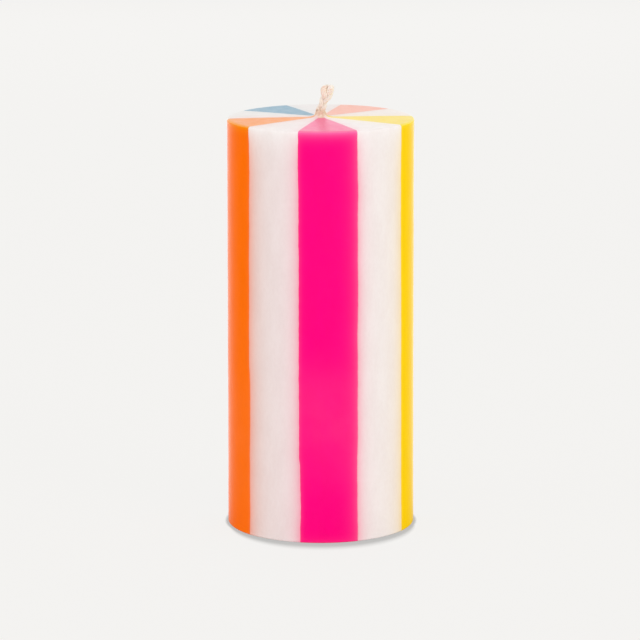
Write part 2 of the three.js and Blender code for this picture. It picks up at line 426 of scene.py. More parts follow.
# Height that the lamps face
LAMP_AIM = 0.075

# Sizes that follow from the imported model
body_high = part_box("pink_wedge")[1]
plate_low, plate_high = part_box("wick_sustainer")
wick_low, wick_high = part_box("wick")
BASE_RADIUS = min(cad_box[1].x, cad_box[1].y)
TOP_RADIUS = BASE_RADIUS - DRAFT
HEIGHT = body_high.z - PACKED_COLLAR
PLATE_RADIUS = plate_high.x
PLATE_FOOT = plate_low.z
NECK_TOP = plate_high.z
WICK_FOOT = wick_low.z
WICK_TIP = wick_high.z
WICK_STAND = (WICK_TIP - HEIGHT) / MM


# Nodes


def add_node(tree, kind, inputs=None, **settings):
    """A node with its settings, and its inputs set to values or linked to sockets."""
    node = tree.nodes.new(kind)
    for name, value in settings.items():
        setattr(node, name, value)
    for name, value in (inputs or {}).items():
        if isinstance(value, bpy.types.NodeSocket):
            tree.links.new(value, node.inputs[name])
        else:
            node.inputs[name].default_value = value
    return node


def maths(tree, operation, first, second=0.0, clamp=False):
    node = add_node(tree, "ShaderNodeMath", {0: first, 1: second}, operation=operation, use_clamp=clamp)
    return node.outputs[0]


def vectors(tree, operation, first, second=(0.0, 0.0, 0.0)):
    node = add_node(tree, "ShaderNodeVectorMath", {0: first, 1: second}, operation=operation)
    return node.outputs["Value" if operation in ("LENGTH", "DISTANCE") else "Vector"]


def along(tree, vector, axis):
    """One of the coordinates of a vector."""
    return add_node(tree, "ShaderNodeSeparateXYZ", {0: vector}).outputs[axis]


def blend(tree, factor, first, second, mode="MIX"):
    """Mixes two colours; either may be a socket or a linear (r, g, b)."""
    node = add_node(tree, "ShaderNodeMix", data_type="RGBA", blend_type=mode)
    for index, value in ((0, factor), (6, first), (7, second)):
        if isinstance(value, bpy.types.NodeSocket):
            tree.links.new(value, node.inputs[index])
        elif isinstance(value, tuple):
            node.inputs[index].default_value = (*value, 1.0)
        else:
            node.inputs[index].default_value = value
    return node.outputs[2]


def remap(tree, value, from_low, from_high, to_low=0.0, to_high=1.0):
    inputs = {0: value, 1: from_low, 2: from_high, 3: to_low, 4: to_high}
    return add_node(tree, "ShaderNodeMapRange", inputs, interpolation_type="SMOOTHSTEP").outputs[0]


def attribute(tree, name):
    return add_node(tree, "ShaderNodeAttribute", attribute_name=name).outputs["Fac"]


def place(tree, stretch=1.0):
    """Object coordinates in metres, scaled along the axis; a stretch of 0 makes them flat."""
    coordinates = add_node(tree, "ShaderNodeTexCoord").outputs["Object"]
    node = add_node(tree, "ShaderNodeMapping", {"Vector": coordinates, "Scale": (1.0, 1.0, stretch)})
    return node.outputs[0]


def from_axis(tree):
    """Distance from the axis of the candle, in metres."""
    return vectors(tree, "LENGTH", place(tree, 0.0))


def grain(tree, vector, length, detail=2.0, roughness=0.5):
    """Noise whose features are about as long as given, in metres."""
    inputs = {"Vector": vector, "Scale": 1.0 / length, "Detail": detail, "Roughness": roughness}
    return add_node(tree, "ShaderNodeTexNoise", inputs).outputs[0]


def falloff(tree, distance, strength, length):
    """strength at distance 0, falling by e over each length."""
    power = maths(tree, "EXPONENT", maths(tree, "MULTIPLY", distance, -1.0 / length))
    return maths(tree, "MULTIPLY", power, strength)


def relief(tree, layers):
    """Stacked bumps of (height socket, metres)."""
    normal = None
    for height, distance in layers:
        inputs = {"Height": height, "Distance": distance, "Strength": 1.0}
        if normal is not None:
            inputs["Normal"] = normal
        normal = add_node(tree, "ShaderNodeBump", inputs).outputs[0]
    return normal


def new_material(name):
    material = bpy.data.materials.new(name)
    material.use_nodes = True
    material.node_tree.nodes.clear()
    return material, material.node_tree


def end_tree(tree, shader, output="ShaderNodeOutputMaterial"):
    tree.links.new(shader.outputs[0], add_node(tree, output).inputs["Surface"])


def mix_shaders(tree, share, first, second):
    return add_node(tree, "ShaderNodeMixShader", {0: share, 1: first.outputs[0], 2: second.outputs[0]})


def principled(tree, inputs):
    """Ends a material with one principled shader."""
    end_tree(tree, add_node(tree, "ShaderNodeBsdfPrincipled", inputs))


# Wax


def bled_colour(tree, name, colour, neighbours):
    """The wax's own colour, tinted at each seam by crept dye and by painted light scattered through; one
    piece gets a painted highlight and one a painted shade from one seam.
    """
    result = colour
    # Painted highlight on the pink by white_1, painted shade on white_5 towards the orange
    if name in SEAM_LIGHT_AND_SHADE:
        edge, strength, length, haze = SEAM_LIGHT_AND_SHADE[name]
        result = blend(tree, falloff(tree, attribute(tree, edge), strength, length), result, haze)
    # Dye crept over each seam, with painted light scattered in from the neighbour
    for edge, neighbour in zip(("from_right", "from_left"), neighbours):
        share = falloff(tree, attribute(tree, edge), *BLEED_AND_SCATTER.get(neighbour, FRINGE))
        result = blend(tree, share, result, neighbour)
    return result


def mottled(tree, base, length, stretch, share, **fineness):
    """base, a little darker in patches of this length and stretch."""
    shade = grain(tree, place(tree, stretch), length, **fineness)
    return blend(tree, remap(tree, shade, *NOISE_RANGE, 0.0, share), base, MOTTLE, "MULTIPLY")


def wax_colour(tree, name, colour, lit_tint, neighbours, sheen_share=0.0):
    """The colour of a wax with its edges and mottle, and painted light: glow at the rim and the foot and a
    sheen on the wall. The last argument is how far it leans to its lit tint, a painted sheen on the top
    face.
    """
    # Painted sheen: the top face leans to its lit tint by the share passed in
    base = blend(tree, sheen_share, bled_colour(tree, name, colour, neighbours), lit_tint)
    from_rim = attribute(tree, "from_rim")
    # Painted light: the white wall lighter in a band below the rim
    if colour in (WHITE, BLUSH_AND_SHADE) and not sheen_share:
        base = blend(tree, falloff(tree, from_rim, *LIT_BAND), base, WHITE_LIT)
    # Painted glow of light through the wax near the top rim
    glow = falloff(tree, from_rim, *GLOW)
    base = blend(tree, glow, base, lit_tint if sheen_share else RIM_GLOW.get(colour, lit_tint))
    height = along(tree, place(tree), "Z")
    # Painted glow of light creeping into the foot from below
    base = blend(tree, falloff(tree, height, *FOOT_GLOW), base, lit_tint)
    # Painted sheen: a faint pale band on the wall in place of a broad highlight
    strongest, sheen_height, sheen_reach = WALL_SHEEN.get(colour, PLAIN_SHEEN)
    away = maths(tree, "ABSOLUTE", maths(tree, "SUBTRACT", height, sheen_height))
    patch = grain(tree, place(tree), SHEEN_PATCHES, detail=4.0, roughness=0.55)
    patch = remap(tree, patch, *NOISE_RANGE, SHEEN_LEAST, 1.0)
    share = maths(tree, "MULTIPLY", remap(tree, away, 0.0, sheen_reach, strongest, 0.0), patch)
    base = blend(tree, share, base, SHEEN_TINT)
    base = mottled(tree, base, *MOTTLE_PATCHES, detail=4.0, roughness=0.6)
    return mottled(tree, base, *MOTTLE_SPECKS)


def wax_relief(tree):
    """Slow unevenness, faint upright mould marks, fine grain and a few pin-holes."""
    waves = grain(tree, place(tree), WAVES[0])
    marks = grain(tree, place(tree, MARK_STRETCH), MARKS[0])
    fine = grain(tree, place(tree), GRAIN[0], detail=3.0)
    inputs = {"Vector": place(tree), "Scale": 1.0 / HOLE_SPACING, "Randomness": 1.0}
    cells = add_node(tree, "ShaderNodeTexVoronoi", inputs).outputs["Distance"]
    holes = remap(tree, cells, *HOLE_EDGES)
    return relief(tree, ((waves, WAVES[1]), (marks, MARKS[1]), (fine, GRAIN[1]), (holes, HOLE_DEPTH)))


def finish_wax(tree, base, finish):
    """Gives a wax its colour, its worn gloss and its relief."""
    wear, roughness, refraction, specular = finish
    worn = grain(tree, place(tree), wear, detail=3.0)
    inputs = {
        "Base Color": base,
        "Roughness": remap(tree, worn, *NOISE_RANGE, *roughness),
        "IOR": refraction,
        "Specular IOR Level": specular,
        "Normal": wax_relief(tree),
    }
    principled(tree, inputs)


def wall_wax(name, colour, lit_tint, neighbours):
    """Matt wax of the wall and the base, as it left the mould."""
    material, tree = new_material(name + "_wall")
    finish_wax(tree, wax_colour(tree, name, colour, lit_tint, neighbours), WALL_FINISH)
    return material


def top_wax(name, colour, lit_tint, neighbours):
    """Glossier wax of the top face, with painted sheen; pale round the wick where its own coat has run out.
    """
    material, tree = new_material(name + "_top")
    # The top face leans to its lit tint: a painted sheen
    base = wax_colour(tree, name, colour, lit_tint, neighbours, TOP_SHEEN_SHARE)
    waves, swing = CORE_EDGE
    ragged = maths(tree, "MULTIPLY", grain(tree, place(tree), waves), swing)
    radius = maths(tree, "ADD", from_axis(tree), ragged)
    haze = remap(tree, radius, *CORE_HAZE_FADE, CORE_HAZE.get(name, 0.0), 0.0)
    base = blend(tree, haze, base, CORE)
    length, stretch = CORE_STREAKS
    streaks = grain(tree, place(tree, stretch), length)
    coat = blend(tree, remap(tree, streaks, *CORE_STREAK_RANGE), CORE, CORE_PALE)
    climb = along(tree, place(tree), "Z")
    climb = remap(tree, climb, HEIGHT + CORE_DEEP_RISE, HEIGHT + COLLAR_HEIGHT, 0.0, CORE_DEEP_SHARE)
    coat = blend(tree, climb, coat, CORE_DEEP)
    reach = CORE_REACH.get(name, CORE_PLAIN_REACH)
    base = blend(tree, remap(tree, radius, reach - CORE_END, reach, CORE_COVER, 0.0), base, coat)
    finish_wax(tree, base, TOP_FINISH)
    return material


def seam_shift(seam, height):
    """How far a seam strays anticlockwise at this height, measured on the wall."""
    course = SEAM_COURSES.get(seam)
    shift = MM * along_course(course, height / MM) if course else 0.0
    for row, (length, swing) in enumerate(SEAM_WAVES):
        if course is None or row > 0:
            spot = Vector((SEAM_STEP * seam + SEAM_START, height / length, WAVE_STEP * row))
            shift += WAVE_GAIN * swing * noise.noise(spot)
    return shift


def along_course(course, height):
    """The shift at a height, eased from each point of the course to the next."""
    if height <= course[0][0]:
        return course[0][1]
    for (low, first), (high, second) in zip(course, course[1:]):
        if height < high:
            way = (height - low) / (high - low)
            return first + (second - first) * way * way * (3.0 - 2.0 * way)
    return course[-1][1]


def arc(centre_radius, centre_height, radius, start, end, steps):
    """Points of a round corner, both ends included, as (radius, height)."""
    points = []
    for step in range(steps + 1):
        angle = start + (end - start) * step / steps
        points.append((centre_radius + radius * cos(angle), centre_height + radius * sin(angle)))
    return points


def span(first, last, steps):
    """Points from first to last, without the last."""
    (r0, z0), (r1, z1) = first, last
    return [(r0 + (r1 - r0) * step / steps, z0 + (z1 - z0) * step / steps) for step in range(steps)]


def wedge_profile():
    """Section of a wedge, anticlockwise in (radius, height): the recess, the base, the wall and the top.
    Returns its points and the indices of the first and last wall rows, the first top point and the end."""
    ceiling = PLATE_FOOT + PLATE_THICKNESS + PLATE_CLEARANCE
    recess = PLATE_RADIUS + PLATE_CLEARANCE
    neck = NECK_RADIUS + PLATE_CLEARANCE
    shelf = NECK_TOP + PLATE_CLEARANCE
    base_edge = BASE_RADIUS - BASE_RIM_RADIUS
    top_edge = TOP_RADIUS - TOP_RIM_RADIUS
    wall_foot = (BASE_RADIUS, BASE_RIM_RADIUS)
    wall_head = (TOP_RADIUS, HEIGHT - TOP_RIM_RADIUS)
    collar_foot = COLLAR_STEM + COLLAR_FLARE

    points = [(BORE_RADIUS, shelf), (neck, shelf)]
    points += arc(neck + NECK_FILLET, ceiling + NECK_FILLET, NECK_FILLET, pi, 1.5 * pi, CORNER_STEPS)
    points += [(recess, ceiling)]
    points += span((recess, 0.0), (base_edge, 0.0), BASE_RINGS)
    points += arc(base_edge, BASE_RIM_RADIUS, BASE_RIM_RADIUS, -pi / 2, 0.0, RIM_STEPS)[:-1]
    first_row = len(points)
    points += span(wall_foot, wall_head, WALL_ROWS)
    last_row = len(points)
    rim = arc(top_edge, HEIGHT - TOP_RIM_RADIUS, TOP_RIM_RADIUS, 0.0, pi / 2, RIM_STEPS)
    points += rim[: RIM_STEPS // 2]
    first_top = len(points) - 1
    points += rim[RIM_STEPS // 2 : -1]
    points += span((top_edge, HEIGHT), (collar_foot, HEIGHT), TOP_RINGS)
    for step in range(COLLAR_STEPS + 1):
        share = step / COLLAR_STEPS
        climb = COLLAR_HEIGHT * share * share * (2.0 - share)
        flare = COLLAR_FLARE * exp(-climb / COLLAR_CURVE)
        into = max(climb - COLLAR_HEIGHT + COLLAR_ROUNDING, 0.0) / COLLAR_ROUNDING
        stem = COLLAR_BORE + (COLLAR_STEM - COLLAR_BORE) * sqrt(1.0 - into * into)
        points.append((stem + flare, HEIGHT + climb))
    first_bore = len(points)
    return points, first_row, last_row, first_top, first_bore


def cap_faces(profile_rows, bore_rows, anchor):
    """Triangles of a seam face, over indices of the profile, anticlockwise in (radius, height). bore_rows
    pairs each bore point with the wall row that is level with it, from the shelf up."""
    faces = [(anchor, j, j + 1) for j in range(anchor - 1)]
    for (low, start), (high, end) in zip(bore_rows, bore_rows[1:]):
        middle = (start + end) // 2
        faces += [(low, j, j + 1) for j in range(start, middle)]
        faces.append((low, middle, high))
        faces += [(high, j, j + 1) for j in range(middle, end)]
    top, last = bore_rows[-1]
    faces += [(top, j, j + 1) for j in range(last, profile_rows - 1)]
    return faces


def wobble(x, y, z, swing):
    """Slow unevenness between 0 and swing."""
    slow = noise.noise(Vector((x, y, z)) / WOBBLE_LENGTH + WOBBLE_START)
    fine = noise.noise(Vector((x, y, z)) / WOBBLE_FINE_LENGTH)
    return swing * min(max(0.5 + WOBBLE_SLOW * slow + WOBBLE_FINE * fine, 0.0), 1.0)


def build_wedge(index, name, colour, lit_tint):
    """One wedge of wax, closed, butting against its neighbours along the wandering seams."""
    profile, first_row, last_row, first_top, first_bore = wedge_profile()
    anchor = first_row + next(
        i for i in range(WALL_ROWS) if profile[first_row + i][1] > NECK_TOP + 2 * PLATE_CLEARANCE
    )
    rows = list(range(anchor, last_row, CAP_ROWS))
    bore = [(BORE_RADIUS, profile[row][1]) for row in reversed(rows[1:])]
    bore_rows = [(0, anchor)]
    bore_rows += [(first_bore + len(bore) - 1 - i, row) for i, row in enumerate(rows[1:])]
    profile = profile + bore

    lengths = [0.0]
    for (r0, z0), (r1, z1) in zip(profile, profile[1:]):
        lengths.append(lengths[-1] + sqrt((r1 - r0) ** 2 + (z1 - z0) ** 2))
    rim_length = 0.5 * (lengths[first_top] + lengths[first_top + 1])

    right_seam = (index - 1) % len(WEDGES)
    middle = FRONT + index * WEDGE_ANGLE
    count = len(profile)
    points, from_left, from_right, from_rim = [], [], [], []
    for column in range(COLUMNS + 1):
        share = column / COLUMNS
        for j, (radius, height) in enumerate(profile):
            right = -WEDGE_ANGLE / 2 + seam_shift(right_seam, height) / BASE_RADIUS
            left = WEDGE_ANGLE / 2 + seam_shift(index, height) / BASE_RADIUS
            inset = SEAM_CLEARANCE / 2 / radius
            turn = (right + inset) * (1.0 - share) + (left - inset) * share
            angle = middle + turn
            x, y = radius * cos(angle), radius * sin(angle)
            if first_row <= j <= last_row:
                shrunk = (radius - wobble(x, y, height, WALL_WOBBLE)) / radius
                x, y = x * shrunk, y * shrunk
            elif first_top < j < first_bore:
                height += TOP_RISE * (1.0 - (radius / TOP_RADIUS) ** 2)
                if j < first_bore - COLLAR_STEPS:
                    height += wobble(x, y, height, TOP_WOBBLE) - TOP_WOBBLE / 2
                else:
                    spot = Vector((COLLAR_WAVES * cos(angle), COLLAR_WAVES * sin(angle), COLLAR_LEVEL))
                    height += COLLAR_RAGGED * noise.noise(spot) * (height - HEIGHT - TOP_RISE)
            points.append((x, y, height))
            from_left.append((left - turn) * radius)
            from_right.append((turn - right) * radius)
            from_rim.append(abs(lengths[j] - rim_length))

    faces, materials = [], []
    for column in range(COLUMNS):
        here, there = column * count, (column + 1) * count
        for j in range(count):
            k = (j + 1) % count
            faces.append((here + j, there + j, there + k, here + k))
            materials.append(TOP_MATERIAL if first_top <= j < first_bore - 1 else WALL_MATERIAL)
    walls = len(faces)
    caps = cap_faces(first_bore, bore_rows, anchor)
    last = COLUMNS * count
    faces += caps
    faces += [(last + c, last + b, last + a) for a, b, c in caps]
    materials += [WALL_MATERIAL] * (len(faces) - walls)

    mesh = new_mesh(name, points, faces, walls)
    mesh.polygons.foreach_set("material_index", materials)
    for label, values in (("from_left", from_left), ("from_right", from_right), ("from_rim", from_rim)):
        mesh.attributes.new(label, "FLOAT", "POINT").data.foreach_set("value", values)
    mesh.set_sharp_from_angle(angle=SHARP_ANGLE)
    mesh.update()

    neighbours = (WEDGES[index - 1][2], WEDGES[(index + 1) % len(WEDGES)][2])
    mesh.materials.append(wall_wax(name, colour, lit_tint, neighbours))
    mesh.materials.append(top_wax(name, colour, lit_tint, neighbours))
    return add_piece(name, mesh)


def new_mesh(name, points, faces, smooth):
    """A mesh whose first faces, as many as smooth says, are shaded smooth."""
    mesh = bpy.data.meshes.new(name)
    mesh.from_pydata(points, [], faces)
    mesh.polygons.foreach_set("use_smooth", [i < smooth for i in range(len(faces))])
    return mesh


def add_object(name, data):
    added = bpy.data.objects.new(name, data)
    bpy.context.scene.collection.objects.link(added)
    return added


def add_piece(name, mesh):
    piece = add_object(name, mesh)
    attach(piece, "root")
    return piece


# Wick


def smooth_step(value, low, high):
    share = np.clip((value - low) / (high - low), 0.0, 1.0)
    return share * share * (3.0 - 2.0 * share)


def plait_width(rises):
    """Width of the plait at each rise above the top face, in millimetres."""
    width = np.full_like(rises, WICK_WIDTH)
    for (low, _), (high, wide) in zip(WICK_OUTLINE, WICK_OUTLINE[1:]):
        width += (wide - width) * smooth_step(rises, low, high)
    return width


def strand_turn(which, rises):
    """How far round its swing a strand is; near the tip it swings no further."""
    below = rises - WICK_STAND + TIP_STRETCH
    below = (below - np.sqrt(below**2 + TIP_EASE**2)) / 2
    return TIP_TURN + tau * (below / PLAIT_PITCH + which / STRANDS)


def strand_end(which):
    return WICK_STAND - TIP_DROPS[which]


def strand_run(which, rises):
    """Centre and radius of a strand at each rise above the top face, in millimetres."""
    half = plait_width(rises) / 2
    radius = STRAND_SHARE * half
    swing = half - radius
    turn = strand_turn(which, rises)
    x = WICK_LEAN * smooth_step(rises, *WICK_LEAN_RISES) + swing * np.cos(turn)
    y = PLAIT_DEPTH_SHARE * swing * np.sin(2.0 * turn)
    return np.stack((x, y, radius), axis=-1)


def press(which, path, rises, reach):
    """Presses a yarn's path, with its radii, back from the planes midway to the neighbouring strands."""
    own = strand_run(which, rises)[:, :2]
    for other in range(STRANDS):
        if other == which:
            continue
        toward = strand_run(other, rises)[:, :2] - own
        gap = np.linalg.norm(toward, axis=1)
        toward = toward / gap[:, None]
        over = ((path[:, :2] - own) * toward).sum(axis=1) + reach - gap / 2
        path[:, :2] -= np.maximum(over, 0.0)[:, None] * toward
    return path


def frames_along(points):
    """Two unit vectors square to the path at each point."""
    tangents = np.gradient(points, axis=0)
    tangents /= np.linalg.norm(tangents, axis=1)[:, None]
    side = np.cross(tangents, (0.0, 1.0, 0.0))
    side /= np.linalg.norm(side, axis=1)[:, None]
    return side, np.cross(tangents, side)


class Tubes:
    """Closed tubes gathered into one mesh, in millimetres."""

    def __init__(self):
        self.points, self.faces, self.values = [], [], []
        self.count = 0

    def add(self, path, radii, sides, value):
        """A closed tube along path; value(points) gives the values of its points."""
        side, out = frames_along(path)
        angles = tau * np.arange(sides) / sides
        ring = np.cos(angles)[None, :, None] * side[:, None] + np.sin(angles)[None, :, None] * out[:, None]
        skin = (path[:, None] + radii[:, None, None] * ring).reshape(-1, 3)
        points = np.concatenate((skin, path[:1], path[-1:]))
        above = np.maximum(points[:, 2] - WICK_TIP / MM + TIP_PRESS, 0.0)
        points[:, 2] -= above - TIP_PRESS * (1.0 - np.exp(-above / TIP_PRESS))
        rings, base = len(path), self.count
        for row in range(rings - 1):
            for i in range(sides):
                j = (i + 1) % sides
                a, b = base + row * sides + i, base + row * sides + j
                self.faces.append((a, b, b + sides, a + sides))
        foot, tip = base + rings * sides, base + rings * sides + 1
        last = base + (rings - 1) * sides
        for i in range(sides):
            j = (i + 1) % sides
            self.faces.append((foot, base + j, base + i))
            self.faces.append((tip, last + i, last + j))
        length = np.append(0.0, np.cumsum(np.linalg.norm(np.diff(path, axis=0), axis=1)))
        turn = angles[None, :] + FIBRE_TWIST * length[:, None]
        lie = np.stack((np.cos(turn), np.sin(turn)), axis=-1).reshape(-1, 2)
        self.points.append(points)
        self.values.append(np.hstack((value(points), np.concatenate((lie, np.zeros((2, 2)))))))
        self.count += len(points)

    def mesh(self, name, labels):
        points = np.concatenate(self.points)
        values = np.concatenate(self.values)
        mesh = new_mesh(name, (points * MM).tolist(), self.faces, len(self.faces))
        for column, label in enumerate(labels):
            numbers = values[:, column].astype(np.float32)
            mesh.attributes.new(label, "FLOAT", "POINT").data.foreach_set("value", numbers)
        mesh.update()
        return mesh


def wick_values(which, points):
    """How deep in a furrow (painted shade) each point lies, how high it stands and which strand it is of."""
    top = HEIGHT / MM
    rises = np.clip(points[:, 2] - top, (WICK_FOOT - HEIGHT) / MM, WICK_STAND)
    furrow = np.zeros(len(points))
    for other in range(STRANDS):
        if other != which:
            run = strand_run(other, rises)
            away = np.linalg.norm(points[:, :2] - run[:, :2], axis=1) / run[:, 2]
            furrow = np.maximum(furrow, np.clip((FURROW_REACH - away) / FURROW_WIDTH, 0.0, 1.0))
    furrow *= 1.0 - smooth_step(points[:, 2] - top, *(WICK_STAND - length for length in FURROW_END))
    return np.stack((furrow, points[:, 2] - top, np.full(len(points), which / (STRANDS - 1))), axis=1)


def add_yarn(tubes, random, which, yarn):
    """One yarn of a strand. The last is its middle one, and the others wind round that."""
    top = HEIGHT / MM
    foot = (WICK_FOOT - HEIGHT) / MM
    start = tau * yarn / YARNS_ROUND + YARN_OFFSET * which
    outer = 1.0 if yarn < YARNS_ROUND else 0.0
    at_tip = strand_run(which, np.array([WICK_STAND]))[0]
    beside = outer * at_tip[2] * 2 / YARNS_ACROSS * cos(start + tau * WICK_STAND / YARN_LAY)
    across = at_tip[0] - WICK_LEAN - beside
    end = strand_end(which) - random.uniform(*END_DROPS) - OUTER_END_DROP * outer
    end -= TIP_DOME * (2.0 * across / WICK_OUTLINE[-1][1]) ** 2

    inside = np.arange(foot + FOOT_LIFT, 0.0, INNER_STEP)
    outside = np.arange(0.0, end - END_STEPS[0], OUTER_STEP)
    rises = np.concatenate((inside, outside, end - np.array(END_STEPS)))
    turned = np.maximum(rises, foot + FOOT_HOLD)
    run = strand_run(which, turned)
    centre = np.stack((run[:, 0], run[:, 1], rises + top), axis=1)
    side, out = frames_along(centre)

    loose = np.clip((rises - end + SPLAY_LENGTH) / SPLAY_LENGTH, 0.0, 1.0) ** 2
    strayed = SPLAY * random.uniform(*SPLAY_SHARES) * loose
    turn = start + tau * turned / YARN_LAY
    swing = YARN_SWING * np.sin(rises * SWING_PHASE + random.uniform(0.0, tau))
    lay = outer * (run[:, 2] * 2 / YARNS_ACROSS + strayed + swing)
    path = centre + (lay * np.cos(turn))[:, None] * side + (lay * np.sin(turn))[:, None] * out
    swelling = 1.0 + YARN_SWELL * np.sin(rises * SWELL_PHASE + SWELL_OFFSET * yarn)
    radii = run[:, 2] / YARNS_ACROSS * YARN_FILL * swelling
    radii[-len(END_THINNING) :] *= np.array(END_THINNING)
    path = press(which, path, turned, radii * YARN_HOLD)
    tubes.add(path, radii, YARN_SIDES, lambda points: wick_values(which, points))


def add_fibre(tubes, random):
    """A loose fibre, from the skin of a strand outward."""
    top = HEIGHT / MM
    which = int(random.integers(STRANDS))
    rise = random.uniform(FIBRE_LOWEST, strand_end(which) - FIBRE_DROP)
    run = strand_run(which, np.array([rise]))[0]
    angle = random.uniform(0.0, tau)
    root = np.array([run[0] + run[2] * cos(angle), run[1] + run[2] * sin(angle), top + rise])
    length = random.uniform(*FIBRE_LENGTH)
    away = np.array([cos(angle), sin(angle), random.uniform(*FIBRE_LIFT)])
    curl = random.normal(0.0, FIBRE_CURL, 3)
    steps = np.linspace(0.0, 1.0, FIBRE_POINTS)[:, None]
    straight = length * steps * away / np.linalg.norm(away)
    path = root + straight + length * steps**2 * curl * FIBRE_CURL_SHARE
    path[:, 2] = np.minimum(path[:, 2], top + WICK_STAND - TIP_MARGIN)
    radii = FIBRE_RADIUS * (1.0 - FIBRE_THINNING * steps[:, 0])
    tubes.add(path, radii, FIBRE_SIDES, lambda points: wick_values(which, points) * (0.0, 1.0, 1.0))


def build_wick():
    """Three strands of seven yarns each, from the plate to the frayed and slanting cut end."""
    random = np.random.default_rng(SEED)
    tubes = Tubes()
    for which in range(STRANDS):
        for yarn in range(YARNS_ROUND + 1):
            add_yarn(tubes, random, which, yarn)
    for _ in range(FIBRES):
        add_fibre(tubes, random)
    mesh = tubes.mesh("plaited_wick", ("furrow", "rise", "strand", "lie_x", "lie_y"))
    mesh.materials.append(cotton())
    piece = add_piece("plaited_wick", mesh)
    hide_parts("wick")


def cotton():
    """Waxed ecru yarn, paler where it is loose, darker at the foot, with painted shade in the furrows
    and a painted shadow at one spot by the foot.
    """
    material, tree = new_material("wick_cotton")
    rise = attribute(tree, "rise")
    strand = attribute(tree, "strand")
    furrow = attribute(tree, "furrow")
    patch = grain(tree, place(tree), PATCH_LENGTH)
    base = blend(tree, remap(tree, rise, *WAXED_RISES), COTTON_WAXED, COTTON_LOOSE)
    mid = maths(tree, "SUBTRACT", 1.0, maths(tree, "ABSOLUTE", maths(tree, "SUBTRACT", strand, 0.5)))
    tan = maths(tree, "MULTIPLY", remap(tree, mid, *TAN_STRAND), remap(tree, rise, *TAN_RISES))
    base = blend(tree, maths(tree, "MULTIPLY", tan, TAN_SHARE), base, COTTON_TAN)
    base = blend(tree, remap(tree, patch, *PATCH_RANGE, 0.0, PATCH_SHARE), base, COTTON_PATCH)
    # Painted shade in the furrows between the strands
    base = blend(tree, maths(tree, "MULTIPLY", furrow, FURROW_SHADE_SHARE), base, FURROW_SHADE)
    inputs = {0: attribute(tree, "lie_x"), 1: attribute(tree, "lie_y"), 2: rise}
    lie = add_node(tree, "ShaderNodeCombineXYZ", inputs).outputs[0]
    lie = vectors(tree, "MULTIPLY", lie, (FIBRE_FINENESS, FIBRE_FINENESS, FIBRE_LENGTHWISE))
    fibre = grain(tree, lie, 1.0, detail=3.0, roughness=0.65)
    base = blend(tree, remap(tree, fibre, *FIBRE_RANGE, FIBRE_SHARE, 0.0), base, COTTON_FIBRE, "MULTIPLY")
    # Painted shadow at the foot of the wick, where its left strand leaves the wax
    spot = vectors(tree, "DISTANCE", place(tree), FOOT_SHADOW_PLACE)
    spot = maths(tree, "ADD", spot, maths(tree, "MULTIPLY", patch, FOOT_SHADOW_RAGGED))
    base = blend(tree, remap(tree, spot, *FOOT_SHADOW_EDGES, FOOT_SHADOW_SHARE, 0.0), base, FOOT_SHADOW)
    inputs = {
        "Base Color": base,
        "Roughness": remap(tree, patch, *NOISE_RANGE, *COTTON_ROUGHNESS),
        "IOR": 1.45,
        "Specular IOR Level": 0.3,
        "Sheen Weight": 0.15,
        "Sheen Roughness": 0.5,
        "Normal": relief(tree, ((fibre, FIBRE_DEPTH),)),
    }
    principled(tree, inputs)
    return material


# Wick plate


def build_plate():
    """Pressed tin plate with a stiffening bead and a crimped neck."""
    foot, top = PLATE_FOOT, PLATE_FOOT + PLATE_THICKNESS
    edge = PLATE_THICKNESS / 2
    bore_foot = NECK_BORE + BORE_FILLET
    bead = []
    for step in range(BEAD_STEPS + 1):
        across = 2 * step / BEAD_STEPS - 1.0
        bead.append((BEAD_RADIUS + BEAD_WIDTH * across, BEAD_HEIGHT * 0.5 * (1.0 + cos(pi * across))))
    section = [(bore_foot, foot)]
    section += [(radius, foot + lift) for radius, lift in bead]
    section += arc(PLATE_RADIUS - edge, foot + edge, edge, -pi / 2, pi / 2, EDGE_STEPS)
    section += [(radius, top + lift) for radius, lift in reversed(bead)]
    section += arc(NECK_RADIUS + NECK_FILLET, top + NECK_FILLET, NECK_FILLET, 1.5 * pi, pi, NECK_STEPS)
    neck = ((0.0, CRIMP_START), (NECK_CRIMP, CRIMP_WAIST), (NECK_CRIMP / 2, 1.0))
    section += [(NECK_RADIUS - crimp, NECK_TOP * share) for crimp, share in neck]
    section += [(NECK_BORE - crimp, NECK_TOP * share) for crimp, share in reversed(neck)]
    section += arc(bore_foot, foot + BORE_FILLET, BORE_FILLET, pi, 1.5 * pi, CORNER_STEPS)[:-1]
    count = len(section)
    points, faces = [], []
    for column in range(PLATE_SEGMENTS):
        angle = tau * column / PLATE_SEGMENTS
        for radius, height in section:
            squeeze = max(height - top, 0.0) / (NECK_TOP - top)
            dented = radius - NECK_CRIMP * squeeze * max(cos(CRIMPS * angle), 0.0) ** 2
            points.append((dented * cos(angle), dented * sin(angle), height))
    for column in range(PLATE_SEGMENTS):
        here = column * count
        there = (column + 1) % PLATE_SEGMENTS * count
        for j in range(count):
            k = (j + 1) % count
            faces.append((here + j, there + j, there + k, here + k))
    mesh = new_mesh("pressed_plate", points, faces, len(faces))
    mesh.set_sharp_from_angle(angle=SHARP_ANGLE)
    mesh.update()
    mesh.materials.append(tinplate())
    piece = add_piece("pressed_plate", mesh)
    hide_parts("wick_sustainer")


